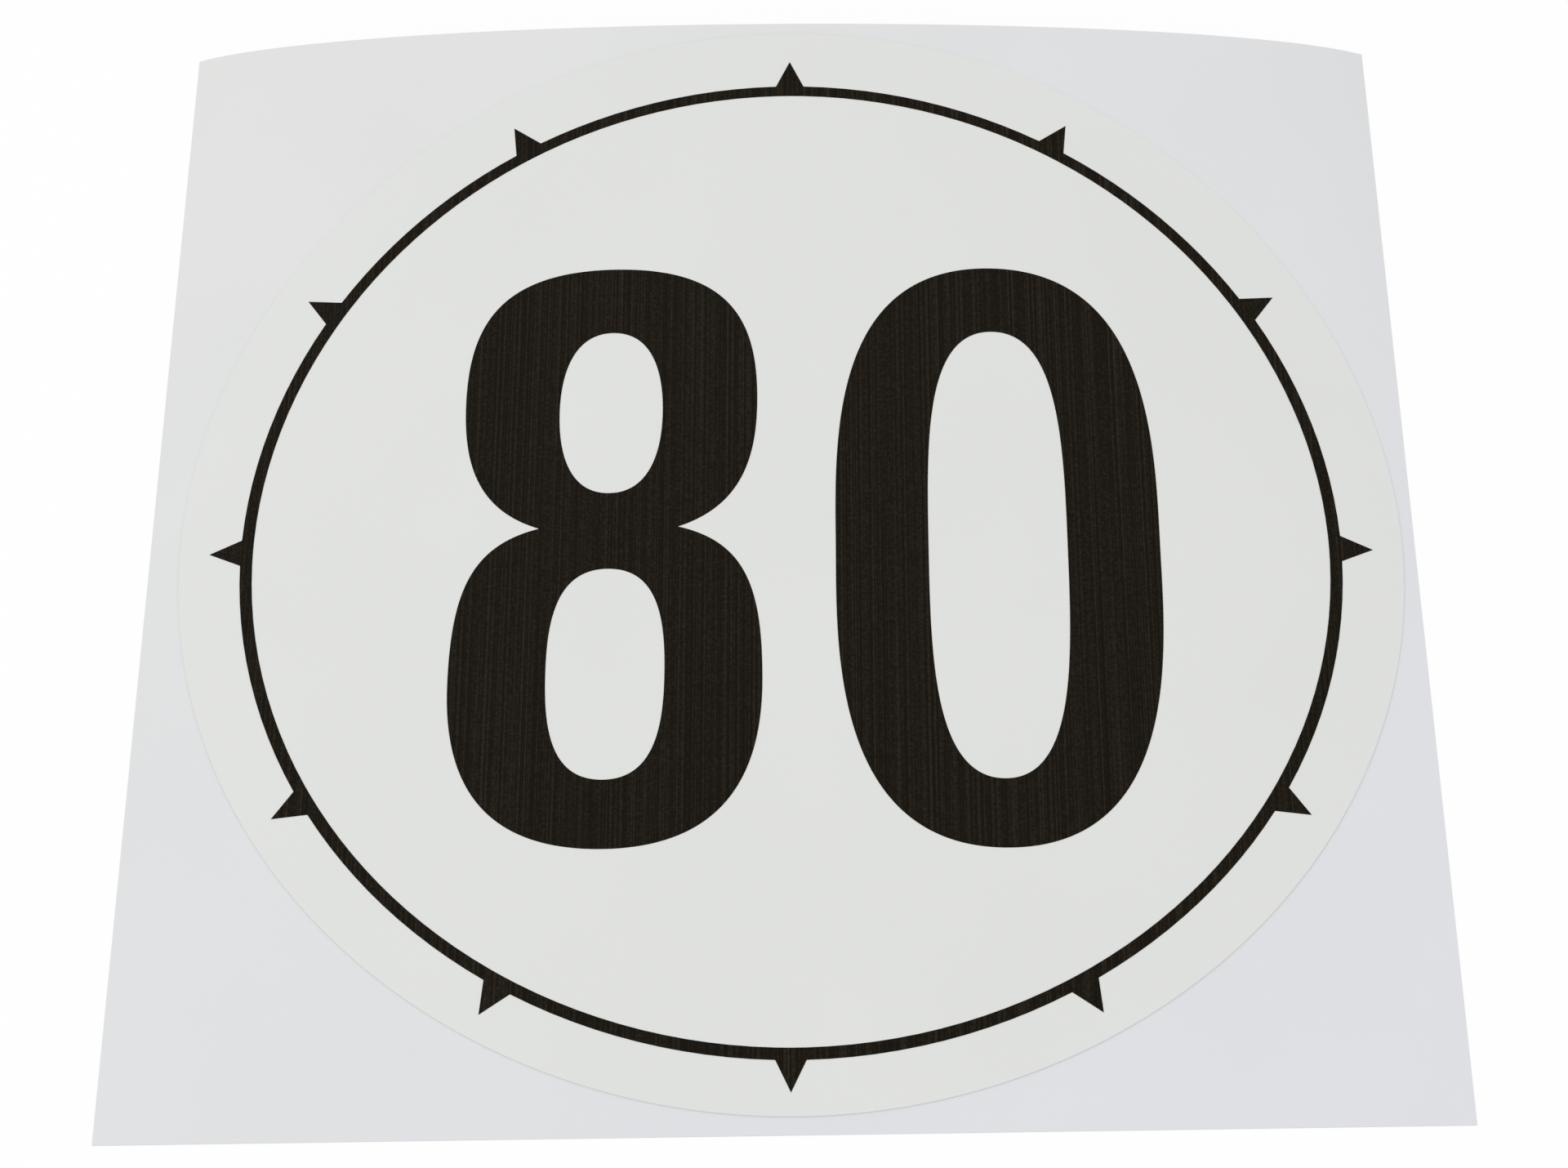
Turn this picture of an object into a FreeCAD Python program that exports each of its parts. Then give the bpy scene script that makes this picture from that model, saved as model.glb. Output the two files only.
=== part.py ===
"""Round self-adhesive vehicle sign on its square release liner, lying with its far edge arched up.

Three thin layers, the liner, the film and the print, follow one bent surface. Its near edge is straight,
lies on the table and was cut a little off square. Its far edge rises to an arch between two corners that
still touch the table, and straight lines join the two.
Millimetres, +Z up, +Y towards the arched edge, origin on the table under the middle of the liner.
"""
import FreeCAD, Part
import math
import os
import Sketcher

SIZES = (
    ("film_diameter", 150.0),
    ("film_thickness", 0.12),
    ("liner_thickness", 0.16),
    ("print_thickness", 0.04),
    ("margin_left", 3.74),
    ("margin_right", 2.2),
    ("margin_near", 3.1),
    ("margin_far", 1.7),
    ("near_slant", 1.84),
    ("arch_rise", 7.15),
    ("arch_fullness", 0.96),
    ("arch_take_up", 3.6),
    ("print_drop", 0.86),
    ("stud_tip_margin", 3.7),
    ("stud_length", 3.9),
    ("stud_base_width", 4.25),
    ("stud_low_angle", 30.8),
    ("stud_high_angle", 59.9),
    ("ring_width", 1.5),
    ("figures_shift", 1.99),
    ("figures_drop", 0.79),
    ("figures_gap", 8.9),
    ("figure_height", 80.46),
    ("figure_head_stroke", 9.45),
    ("figure_foot_stroke", 8.95),
    ("zero_width", 39.58),
    ("zero_side_stroke", 11.3),
    ("zero_crown", 1.05),
    ("zero_flank", 0.33),
    ("zero_counter_crown", 1.0),
    ("zero_counter_flank", 0.48),
    ("eight_upper_width", 36.32),
    ("eight_lower_width", 37.78),
    ("eight_side_stroke", 11.74),
    ("eight_waist", 10.56),
    ("eight_waist_height", 42.58),
    ("eight_upper_dip", 0.78),
    ("eight_lower_rise", 1.36),
    ("eight_head_crown", 0.821),
    ("eight_head_flank", 0.579),
    ("eight_upper_waist_crown", 0.85),
    ("eight_upper_waist_flank", 0.533),
    ("eight_lower_waist_crown", 0.824),
    ("eight_lower_waist_flank", 0.723),
    ("eight_foot_crown", 0.79),
    ("eight_foot_flank", 0.538),
    ("eight_upper_counter_crown", 0.75),
    ("eight_upper_counter_flank", 0.523),
    ("eight_lower_counter_crown", 0.889),
    ("eight_lower_counter_flank", 0.481),
    ("outline_reach", 2.0),
)

LINER_WIDTH = "(sizes.film_diameter + sizes.margin_left + sizes.margin_right)"
LINER_LENGTH = "(sizes.film_diameter + sizes.margin_near + sizes.margin_far)"
FILM_X = "((sizes.margin_left - sizes.margin_right) / 2)"
FILM_Y = "((sizes.margin_near - sizes.margin_far) / 2)"
PRINT_Y = f"({FILM_Y} - sizes.print_drop)"
FILM_BOTTOM = "(sizes.liner_thickness)"
PRINT_BOTTOM = "(sizes.liner_thickness + sizes.film_thickness)"
RING_OUTER = "(sizes.film_diameter / 2 - sizes.stud_tip_margin - sizes.stud_length)"
RING_INNER = f"({RING_OUTER} - sizes.ring_width)"
RING_MIDDLE = f"({RING_OUTER} - sizes.ring_width / 2)"
STUD_TIP = f"({RING_OUTER} + sizes.stud_length)"
ARCH_END = "acos(sizes.arch_fullness)"
ARCH_CHORD = f"({LINER_WIDTH} - sizes.arch_take_up * sizes.arch_rise ^ 2 / {LINER_WIDTH})"
ARCH_MAJOR = f"({ARCH_CHORD} / 2 / sizes.arch_fullness)"
ARCH_MINOR = "(sizes.arch_rise / (1 - sqrt(1 - sizes.arch_fullness ^ 2)))"
ARCH_SINK = f"({ARCH_MINOR} - sizes.arch_rise)"
ARCH_X = f"(({ARCH_CHORD} - {LINER_WIDTH}) / 2)"
OUTLINE_HEIGHT = "(sizes.arch_rise + 2 * sizes.outline_reach)"
FIGURE_FOOT = f"({PRINT_Y} - sizes.figures_drop - sizes.figure_height / 2)"
EIGHT_WIDEST = "max(sizes.eight_lower_width; sizes.eight_upper_width)"
PAIR_WIDTH = f"({EIGHT_WIDEST} + sizes.figures_gap + sizes.zero_width)"
EIGHT_X = f"(sizes.figures_shift - {PAIR_WIDTH} / 2 + {EIGHT_WIDEST} / 2)"
ZERO_X = f"(sizes.figures_shift + {PAIR_WIDTH} / 2 - sizes.zero_width / 2)"

doc = FreeCAD.newDocument("vehicle_sign_sticker")
sheet = doc.addObject("Spreadsheet::Sheet", "sizes")
for row, (alias, value) in enumerate(SIZES, start=1):
    sheet.set(f"A{row}", alias)
    sheet.set(f"B{row}", str(value))
    sheet.setAlias(f"B{row}", alias)
doc.recompute()


def bind(feature, **expressions):
    """Bind properties of a feature to cells of the sheet; X, Y and Z stand for its position."""
    place = {"X": "Placement.Base.x", "Y": "Placement.Base.y", "Z": "Placement.Base.z"}
    for name, expression in expressions.items():
        feature.setExpression(place.get(name, name), str(expression))


def bent_surface(name, bottom):
    """Ruled surface of the bent sheet whose near edge and far corners lie at the height bottom."""
    near = doc.addObject("Part::Line", f"{name}_near_edge")
    bind(near, X1=f"{LINER_WIDTH} / 2", Y1=f"sizes.near_slant - {LINER_LENGTH} / 2", Z1=bottom)
    bind(near, X2=f"-{LINER_WIDTH} / 2", Y2=f"-{LINER_LENGTH} / 2", Z2=bottom)
    far = doc.addObject("Part::Ellipse", f"{name}_far_edge")
    far.Placement = FreeCAD.Placement(FreeCAD.Vector(), FreeCAD.Rotation(FreeCAD.Vector(1, 0, 0), 90))
    bind(far, MajorRadius=ARCH_MAJOR, MinorRadius=ARCH_MINOR)
    bind(far, Angle1=ARCH_END, Angle2=f"180 deg - {ARCH_END}")
    bind(far, X=ARCH_X, Y=f"{LINER_LENGTH} / 2", Z=f"{bottom} - {ARCH_SINK}")
    doc.recompute()
    surface = doc.addObject("Part::RuledSurface", f"{name}_surface")
    surface.Curve1 = (near, ["Edge1"])
    surface.Curve2 = (far, ["Edge1"])
    doc.recompute()
    return surface


def bent_layer(name, bottom, thickness):
    """Solid sheet that stands on the bent surface and is equally thick along Z everywhere."""
    layer = doc.addObject("Part::Extrusion", name)
    layer.Base = bent_surface(name, bottom)
    layer.DirMode = "Custom"
    layer.Dir = FreeCAD.Vector(0, 0, 1)
    layer.Solid = True
    bind(layer, LengthFwd=thickness)
    doc.recompute()
    return layer


def cut_out(label, layer, outline):
    """Piece of a bent layer that lies inside an upright outline."""
    piece = doc.addObject("Part::Common", label)
    piece.Base = layer
    piece.Tool = outline
    piece.Label = label
    doc.recompute()
    return piece


def curves(name):
    """Crown and flank of an oval's quarters: the lengths of their curves' handles as shares."""
    return sheet.get(f"{name}_crown"), sheet.get(f"{name}_flank")


def oval_face(width, height, head, foot):
    """Flat squarish oval of four curves; head and foot are the crown and flank above and below its middle."""
    half_w = width / 2
    half_h = height / 2
    quarters = []
    for side, end in ((1, 1), (-1, 1), (-1, -1), (1, -1)):
        crown, flank = head if end > 0 else foot
        poles = [
            FreeCAD.Vector(side * half_w, 0, 0),
            FreeCAD.Vector(side * half_w, end * half_h * flank, 0),
            FreeCAD.Vector(side * half_w * crown, end * half_h, 0),
            FreeCAD.Vector(0, end * half_h, 0),
        ]
        if side != end:
            poles.reverse()
        curve = Part.BezierCurve()
        curve.setPoles(poles)
        quarters.append(curve.toShape())
    return Part.Face(Part.Wire(quarters))


def oval_outline(name, face, centre_x, foot, height):
    """Upright prism over an oval face whose lowest point is at foot, measured from the figures' foot."""
    base = doc.addObject("Part::Feature", f"{name}_oval")
    base.Shape = face
    base.Placement = FreeCAD.Placement()
    bind(base, X=f"{FILM_X} + {centre_x}", Y=f"{FIGURE_FOOT} + {foot} + {height} / 2")
    bind(base, Z="-sizes.outline_reach")
    prism = doc.addObject("Part::Extrusion", f"{name}_outline")
    prism.Base = base
    prism.DirMode = "Custom"
    prism.Dir = FreeCAD.Vector(0, 0, 1)
    prism.Solid = True
    bind(prism, LengthFwd=OUTLINE_HEIGHT)
    return prism


def joined(kind, name, base, tool):
    """Boolean of two outlines."""
    result = doc.addObject(kind, name)
    result.Base = base
    result.Tool = tool
    doc.recompute()
    return result


# Release liner and the round film on it

liner = bent_layer("release_liner", "0", "sizes.liner_thickness")

film_outline = doc.addObject("Part::Cylinder", "film_outline")
bind(film_outline, Radius="sizes.film_diameter / 2", Height=OUTLINE_HEIGHT)
bind(film_outline, X=FILM_X, Y=FILM_Y, Z="-sizes.outline_reach")
film_layer = bent_layer("film_layer", FILM_BOTTOM, "sizes.film_thickness")
film = cut_out("face_film", film_layer, film_outline)

# Printed ring with its studs, which point outwards like those of a tyre

print_layer = bent_layer("print_layer", PRINT_BOTTOM, "sizes.print_thickness")
ring_body = doc.addObject("PartDesign::Body", "stud_ring_outline")
plane = next(item for item in ring_body.Origin.OriginFeatures if item.Role == "XY_Plane")


def flat_sketch(name):
    """Empty sketch on the ring's own base plane."""
    sketch = ring_body.newObject("Sketcher::SketchObject", name)
    sketch.AttachmentSupport = (plane, [""])
    sketch.MapMode = "FlatFace"
    return sketch


def upright_pad(name, sketch):
    """Pad of a sketch over the full height of an outline."""
    pad = ring_body.newObject("PartDesign::Pad", name)
    pad.Profile = sketch
    bind(pad, Length=OUTLINE_HEIGHT)
    ring_body.Tip = pad
    doc.recompute()
    return pad


def turned_copies(name, pad, sketch, count):
    """Copies of a pad spread evenly around the ring's middle."""
    copies = ring_body.newObject("PartDesign::PolarPattern", name)
    copies.Originals = [pad]
    copies.Axis = (sketch, ["N_Axis"])
    copies.Angle = 360
    copies.Occurrences = count
    ring_body.Tip = copies
    doc.recompute()


def mirrored_copy(name, pad, sketch, axis):
    """Copy of a pad on the other side of one of its sketch's axes."""
    copy = ring_body.newObject("PartDesign::Mirrored", name)
    copy.Originals = [pad]
    copy.MirrorPlane = (sketch, [axis])
    ring_body.Tip = copy
    doc.recompute()


ring_sketch = flat_sketch("ring_sketch")
for index, (name, radius) in enumerate((("outer", RING_OUTER), ("inner", RING_INNER))):
    ring_sketch.addGeometry(Part.Circle(FreeCAD.Vector(), FreeCAD.Vector(0, 0, 1), 67.0 - index), False)
    ring_sketch.addConstraint(Sketcher.Constraint("Coincident", index, 3, -1, 1))
    ring_sketch.addConstraint(Sketcher.Constraint("Radius", index, 67.0 - index))
    ring_sketch.renameConstraint(2 * index + 1, name)
    ring_sketch.setExpression(f"Constraints.{name}", radius)
upright_pad("ring_pad", ring_sketch)


def add_stud(sketch, name, start, angle):
    """Triangle of one stud in a sketch, pointing away from the ring's middle at an angle from +X."""
    turn = FreeCAD.Rotation(FreeCAD.Vector(0, 0, 1), start)
    right = turn.multVec(FreeCAD.Vector(66, -2, 0))
    left = turn.multVec(FreeCAD.Vector(66, 2, 0))
    tip = turn.multVec(FreeCAD.Vector(71, 0, 0))
    base = sketch.addGeometry(Part.LineSegment(right, left), False)
    rising = sketch.addGeometry(Part.LineSegment(left, tip), False)
    falling = sketch.addGeometry(Part.LineSegment(tip, right), False)
    axis = sketch.addGeometry(Part.LineSegment(FreeCAD.Vector(), tip), True)
    for end, begin in ((base, rising), (rising, falling), (falling, base)):
        sketch.addConstraint(Sketcher.Constraint("Coincident", end, 2, begin, 1))
    sketch.addConstraint(Sketcher.Constraint("Coincident", axis, 1, -1, 1))
    sketch.addConstraint(Sketcher.Constraint("Coincident", axis, 2, rising, 2))
    sketch.addConstraint(Sketcher.Constraint("Symmetric", base, 1, base, 2, axis))
    for size, constraint, expression in (
        ("width", Sketcher.Constraint("Distance", base, 4.0), "sizes.stud_base_width"),
        ("foot", Sketcher.Constraint("Distance", -1, 1, base, 66.0), RING_MIDDLE),
        ("reach", Sketcher.Constraint("Distance", axis, 71.0), STUD_TIP),
        ("angle", Sketcher.Constraint("Angle", axis, math.radians(start)), angle),
    ):
        place = sketch.addConstraint(constraint)
        sketch.renameConstraint(place, f"{name}_{size}")
        sketch.setExpression(f"Constraints.{name}_{size}", expression)


top_sketch = flat_sketch("top_stud_sketch")
add_stud(top_sketch, "top", 90.0, "90 deg")
top_stud = upright_pad("top_stud", top_sketch)
turned_copies("quarter_studs", top_stud, top_sketch, 4)

slanting_sketch = flat_sketch("slanting_studs_sketch")
add_stud(slanting_sketch, "low", 30.0, "sizes.stud_low_angle * 1 deg")
add_stud(slanting_sketch, "high", 60.0, "sizes.stud_high_angle * 1 deg")
slanting_studs = upright_pad("slanting_studs", slanting_sketch)
mirrored_copy("left_studs", slanting_studs, slanting_sketch, "V_Axis")
mirrored_copy("near_studs", slanting_studs, slanting_sketch, "H_Axis")
turned_copies("opposite_studs", slanting_studs, slanting_sketch, 2)
bind(ring_body, X=FILM_X, Y=PRINT_Y, Z="-sizes.outline_reach")
doc.recompute()

stud_ring = cut_out("stud_ring_print", print_layer, ring_body)

# Figures eight and zero, each made of squarish ovals that stand on one foot line

height = sheet.get("figure_height")
head_stroke = sheet.get("figure_head_stroke")
foot_stroke = sheet.get("figure_foot_stroke")
waist = sheet.get("eight_waist")
waist_height = sheet.get("eight_waist_height")

zero_width = sheet.get("zero_width")
zero_counter_width = zero_width - 2 * sheet.get("zero_side_stroke")
zero_counter_height = height - head_stroke - foot_stroke
zero_outer = oval_outline(
    "zero_outer", oval_face(zero_width, height, curves("zero"), curves("zero")),
    ZERO_X, 0, height,
)
zero_counter_curves = curves("zero_counter")
zero_counter = oval_outline(
    "zero_counter",
    oval_face(zero_counter_width, zero_counter_height, zero_counter_curves, zero_counter_curves),
    ZERO_X, foot_stroke, zero_counter_height,
)
zero_shape = joined("Part::Cut", "zero_shape", zero_outer, zero_counter)

upper_foot = waist_height - sheet.get("eight_upper_dip")
upper_height = height - upper_foot
upper_width = sheet.get("eight_upper_width")
lower_height = waist_height + sheet.get("eight_lower_rise")
lower_width = sheet.get("eight_lower_width")
upper_counter_foot = waist_height + waist / 2
upper_counter_height = height - head_stroke - upper_counter_foot
lower_counter_height = waist_height - waist / 2 - foot_stroke
side_strokes = 2 * sheet.get("eight_side_stroke")
upper_lobe = oval_outline(
    "eight_upper",
    oval_face(upper_width, upper_height, curves("eight_head"), curves("eight_upper_waist")),
    EIGHT_X, upper_foot, upper_height,
)
lower_lobe = oval_outline(
    "eight_lower",
    oval_face(lower_width, lower_height, curves("eight_lower_waist"), curves("eight_foot")),
    EIGHT_X, 0, lower_height,
)
upper_counter_curves = curves("eight_upper_counter")
upper_counter = oval_outline(
    "eight_upper_counter",
    oval_face(upper_width - side_strokes, upper_counter_height, upper_counter_curves, upper_counter_curves),
    EIGHT_X, upper_counter_foot, upper_counter_height,
)
lower_counter_curves = curves("eight_lower_counter")
lower_counter = oval_outline(
    "eight_lower_counter",
    oval_face(lower_width - side_strokes, lower_counter_height, lower_counter_curves, lower_counter_curves),
    EIGHT_X, foot_stroke, lower_counter_height,
)
lobes = joined("Part::Fuse", "eight_lobes", upper_lobe, lower_lobe)
counters = joined("Part::Fuse", "eight_counters", upper_counter, lower_counter)
eight_shape = joined("Part::Cut", "eight_shape", lobes, counters)

eight = cut_out("digit_eight_print", print_layer, eight_shape)
zero = cut_out("digit_zero_print", print_layer, zero_shape)
doc.recompute()

pieces = (liner, film, stud_ring, eight, zero)
for item in doc.Objects:
    if "Invalid" in item.State or "Error" in item.State:
        raise RuntimeError(f"{item.Name} did not recompute: {item.State}")
for piece in pieces:
    if piece.Shape.isNull() or not piece.Shape.isValid() or len(piece.Shape.Solids) != 1:
        raise RuntimeError(f"{piece.Label} is not one valid solid")

os.makedirs("parts", exist_ok=True)
for piece in pieces:
    piece.Shape.exportStep(f"parts/{piece.Label}.step")
    box = piece.Shape.BoundBox
    print(piece.Label, round(box.XLength, 2), round(box.YLength, 2), round(box.ZMin, 3), round(box.ZMax, 3),
          "volume", round(piece.Shape.Volume, 2))
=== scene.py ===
"""Round white vehicle sign, printed black, on its square release liner.

The sheet lies on a pale floor with its far edge arched up. Every layer follows the same bent
surface, so each piece is a grid of plan points that the surface lifts, given a wall between its
underside and its top. Metres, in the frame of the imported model: +X to the right of the number, +Y
to its top, +Z up.
"""
import logging
import math
from dataclasses import dataclass
from enum import Enum

import bpy
import numpy as np
from mathutils import Matrix, Vector


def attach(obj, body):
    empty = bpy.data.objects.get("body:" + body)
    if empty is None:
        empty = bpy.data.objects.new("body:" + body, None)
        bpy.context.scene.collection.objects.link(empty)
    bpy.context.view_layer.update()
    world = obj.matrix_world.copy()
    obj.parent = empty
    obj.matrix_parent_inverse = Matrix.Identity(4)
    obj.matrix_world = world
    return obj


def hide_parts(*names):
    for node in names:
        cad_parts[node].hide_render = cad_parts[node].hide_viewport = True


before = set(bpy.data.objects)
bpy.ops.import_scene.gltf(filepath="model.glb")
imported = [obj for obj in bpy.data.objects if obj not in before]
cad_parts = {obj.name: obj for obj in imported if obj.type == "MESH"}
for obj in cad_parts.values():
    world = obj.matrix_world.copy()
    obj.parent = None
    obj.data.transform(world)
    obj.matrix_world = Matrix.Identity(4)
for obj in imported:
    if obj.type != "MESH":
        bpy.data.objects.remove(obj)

MM = 0.001
SHARP_EDGE = math.radians(40.0)
WELD_DIGITS = 10
OUTLINE_POINTS = 400
log = logging.getLogger("vehicle_sign")


class Slot(Enum):
    """The record's material slots."""

    LINER = "liner_paper"
    FILM = "white_film"
    PRINT = "black_print"


def new_material(name: str) -> tuple[bpy.types.Material, bpy.types.NodeTree, bpy.types.Node]:
    """Start a node material.

    Args:
        name: Material name.

    Returns:
        The material, its node tree and its main shader node.
    """
    made = bpy.data.materials.new(name)
    made.use_nodes = True
    tree = made.node_tree
    return made, tree, tree.nodes["Principled BSDF"]


def two_colour_ramp(
    tree: bpy.types.NodeTree,
    first: tuple[float, tuple[float, float, float]],
    last: tuple[float, tuple[float, float, float]],
) -> bpy.types.Node:
    """Add a colour ramp of two stops.

    Args:
        tree: Node tree that gets the ramp.
        first: Position and linear colour of the first stop.
        last: Position and linear colour of the last stop.

    Returns:
        The ramp node.
    """
    ramp = tree.nodes.new("ShaderNodeValToRGB")
    for stop, (position, colour) in zip(ramp.color_ramp.elements, (first, last)):
        stop.position = position
        stop.color = (*colour, 1.0)
    return ramp


def seen_share(tree: bpy.types.NodeTree, unseen: float, seen: float) -> bpy.types.NodeSocket:
    """Add nodes that tell rays which show a surface from rays that only light by it.

    Args:
        tree: Node tree that gets the nodes.
        unseen: Value for rays that only light.
        seen: Value for rays from the camera, off a glossy surface or through a clear one.

    Returns:
        The socket that gives the value.
    """
    path = tree.nodes.new("ShaderNodeLightPath")
    direct = tree.nodes.new("ShaderNodeMath")
    direct.operation = "MAXIMUM"
    either = tree.nodes.new("ShaderNodeMath")
    either.operation = "MAXIMUM"
    value = tree.nodes.new("ShaderNodeMath")
    value.operation = "MULTIPLY_ADD"
    value.inputs[1].default_value = seen - unseen
    value.inputs[2].default_value = unseen
    tree.links.new(path.outputs["Is Camera Ray"], direct.inputs[0])
    tree.links.new(path.outputs["Is Glossy Ray"], direct.inputs[1])
    tree.links.new(direct.outputs["Value"], either.inputs[0])
    tree.links.new(path.outputs["Is Transmission Ray"], either.inputs[1])
    tree.links.new(either.outputs["Value"], value.inputs[0])
    return value.outputs["Value"]


@dataclass(frozen=True)
class SheetFinish:
    """A smooth pale sheet with a faint unevenness of tone and surface.

    Attributes:
        name: Material name.
        tone: Base colour, linear.
        shade: Colour of the slightly darker clouds in the tone, linear.
        roughness: Roughness of the surface.
        gloss: Specular level of the surface.
        cloud_scale: Size of the clouds, in cycles per metre.
        ripple: Strength of the surface's fine unevenness.
        ripple_scale: Size of that unevenness, in cycles per metre.
        ripple_depth: Depth of that unevenness.
        cloud_detail: Octaves of noise in the clouds.
        cloud_stops: Levels of noise at which the shade ends and the full tone begins.
    """

    name: str
    tone: tuple[float, float, float]
    shade: tuple[float, float, float]
    roughness: float
    gloss: float
    cloud_scale: float
    ripple: float
    ripple_scale: float
    ripple_depth: float = 0.05 * MM
    cloud_detail: float = 3.0
    cloud_stops: tuple[float, float] = (0.35, 0.65)

    def material(self) -> bpy.types.Material:
        """Make the sheet's material.

        Returns:
            A material whose tone drifts between two colours with soft noise on Object coordinates.
        """
        made, tree, shader = new_material(self.name)
        shader.inputs["Roughness"].default_value = self.roughness
        shader.inputs["Specular IOR Level"].default_value = self.gloss
        place = tree.nodes.new("ShaderNodeTexCoord")
        clouds = tree.nodes.new("ShaderNodeTexNoise")
        clouds.inputs["Scale"].default_value = self.cloud_scale
        clouds.inputs["Detail"].default_value = self.cloud_detail
        low, high = self.cloud_stops
        ramp = two_colour_ramp(tree, (low, self.shade), (high, self.tone))
        grain = tree.nodes.new("ShaderNodeTexNoise")
        grain.inputs["Scale"].default_value = self.ripple_scale
        bump = tree.nodes.new("ShaderNodeBump")
        bump.inputs["Strength"].default_value = self.ripple
        bump.inputs["Distance"].default_value = self.ripple_depth
        tree.links.new(place.outputs["Object"], clouds.inputs["Vector"])
        tree.links.new(clouds.outputs["Fac"], ramp.inputs["Fac"])
        tree.links.new(ramp.outputs["Color"], shader.inputs["Base Color"])
        tree.links.new(place.outputs["Object"], grain.inputs["Vector"])
        tree.links.new(grain.outputs["Fac"], bump.inputs["Height"])
        tree.links.new(bump.outputs["Normal"], shader.inputs["Normal"])
        return made


def tinted(
    tree: bpy.types.NodeTree,
    tone: bpy.types.NodeSocket,
    share: bpy.types.NodeSocket,
    tint: tuple[float, float, float],
) -> bpy.types.NodeSocket:
    """Multiply a colour by a tint, as far as a share says.

    Args:
        tree: Node tree that gets the node.
        tone: Socket of the colour.
        share: Socket of the share, from 0 for the plain colour to 1 for the whole tint.
        tint: The tint, linear.

    Returns:
        The socket of the tinted colour.
    """
    mixed = tree.nodes.new("ShaderNodeMix")
    mixed.data_type = "RGBA"
    mixed.blend_type = "MULTIPLY"
    mixed.inputs["B"].default_value = (*tint, 1.0)
    tree.links.new(share, mixed.inputs["Factor"])
    tree.links.new(tone, mixed.inputs["A"])
    return mixed.outputs["Result"]


@dataclass(frozen=True)
class PaintedScoreShadeFinish:
    """A pale sheet with a warm cast to one corner and a fine round line of painted shade around the
    cut film, which stands in for the shade in the kiss-cut score.

    Attributes:
        sheet: Finish of the sheet itself.
        centre: Plan place of the middle of the painted score shade.
        radius: Radius of the painted score shade.
        width: Width of the painted score shade.
        shade: Share of the sheet's tone that stays in the painted score shade.
        cast: Tint of the sheet at its far left corner, linear.
        cast_middle: Share of the cast in the middle of the sheet.
        cast_slope: How fast that share grows to the left and to the far side, per metre.
    """

    sheet: SheetFinish
    centre: tuple[float, float]
    radius: float
    width: float
    shade: float
    cast: tuple[float, float, float]
    cast_middle: float
    cast_slope: float

    def material(self) -> bpy.types.Material:
        """Make the sheet's material with its painted score shade.

        Returns:
            The sheet's material, tinted along a diagonal of the plan and darkened with painted
            shade where the plan distance from the centre is near the radius.
        """
        made = self.sheet.material()
        tree = made.node_tree
        shader = tree.nodes["Principled BSDF"]
        tone = shader.inputs["Base Color"].links[0].from_socket
        place = tree.nodes.new("ShaderNodeTexCoord")
        lean = tree.nodes.new("ShaderNodeVectorMath")
        lean.operation = "DOT_PRODUCT"
        lean.inputs[1].default_value = (-self.cast_slope, self.cast_slope, 0.0)
        share = tree.nodes.new("ShaderNodeMath")
        share.operation = "ADD"
        share.inputs[1].default_value = self.cast_middle
        tree.links.new(place.outputs["Object"], lean.inputs[0])
        tree.links.new(lean.outputs["Value"], share.inputs[0])
        tone = tinted(tree, tone, share.outputs["Value"], self.cast)
        # Painted shade: a thin darker ring on the liner along the film's cut edge, in place of the
        # shade in the kiss-cut score.
        centred = tree.nodes.new("ShaderNodeMapping")
        centred.inputs["Location"].default_value = (-self.centre[0], -self.centre[1], 0.0)
        centred.inputs["Scale"].default_value = (1.0, 1.0, 0.0)
        distance = tree.nodes.new("ShaderNodeVectorMath")
        distance.operation = "LENGTH"
        near = tree.nodes.new("ShaderNodeMath")
        near.operation = "COMPARE"
        near.inputs[1].default_value = self.radius
        near.inputs[2].default_value = self.width / 2
        tree.links.new(place.outputs["Object"], centred.inputs["Vector"])
        tree.links.new(centred.outputs["Vector"], distance.inputs[0])
        tree.links.new(distance.outputs["Value"], near.inputs[0])
        tone = tinted(tree, tone, near.outputs["Value"], (self.shade, self.shade, self.shade))
        tree.links.new(tone, shader.inputs["Base Color"])
        return made


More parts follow.
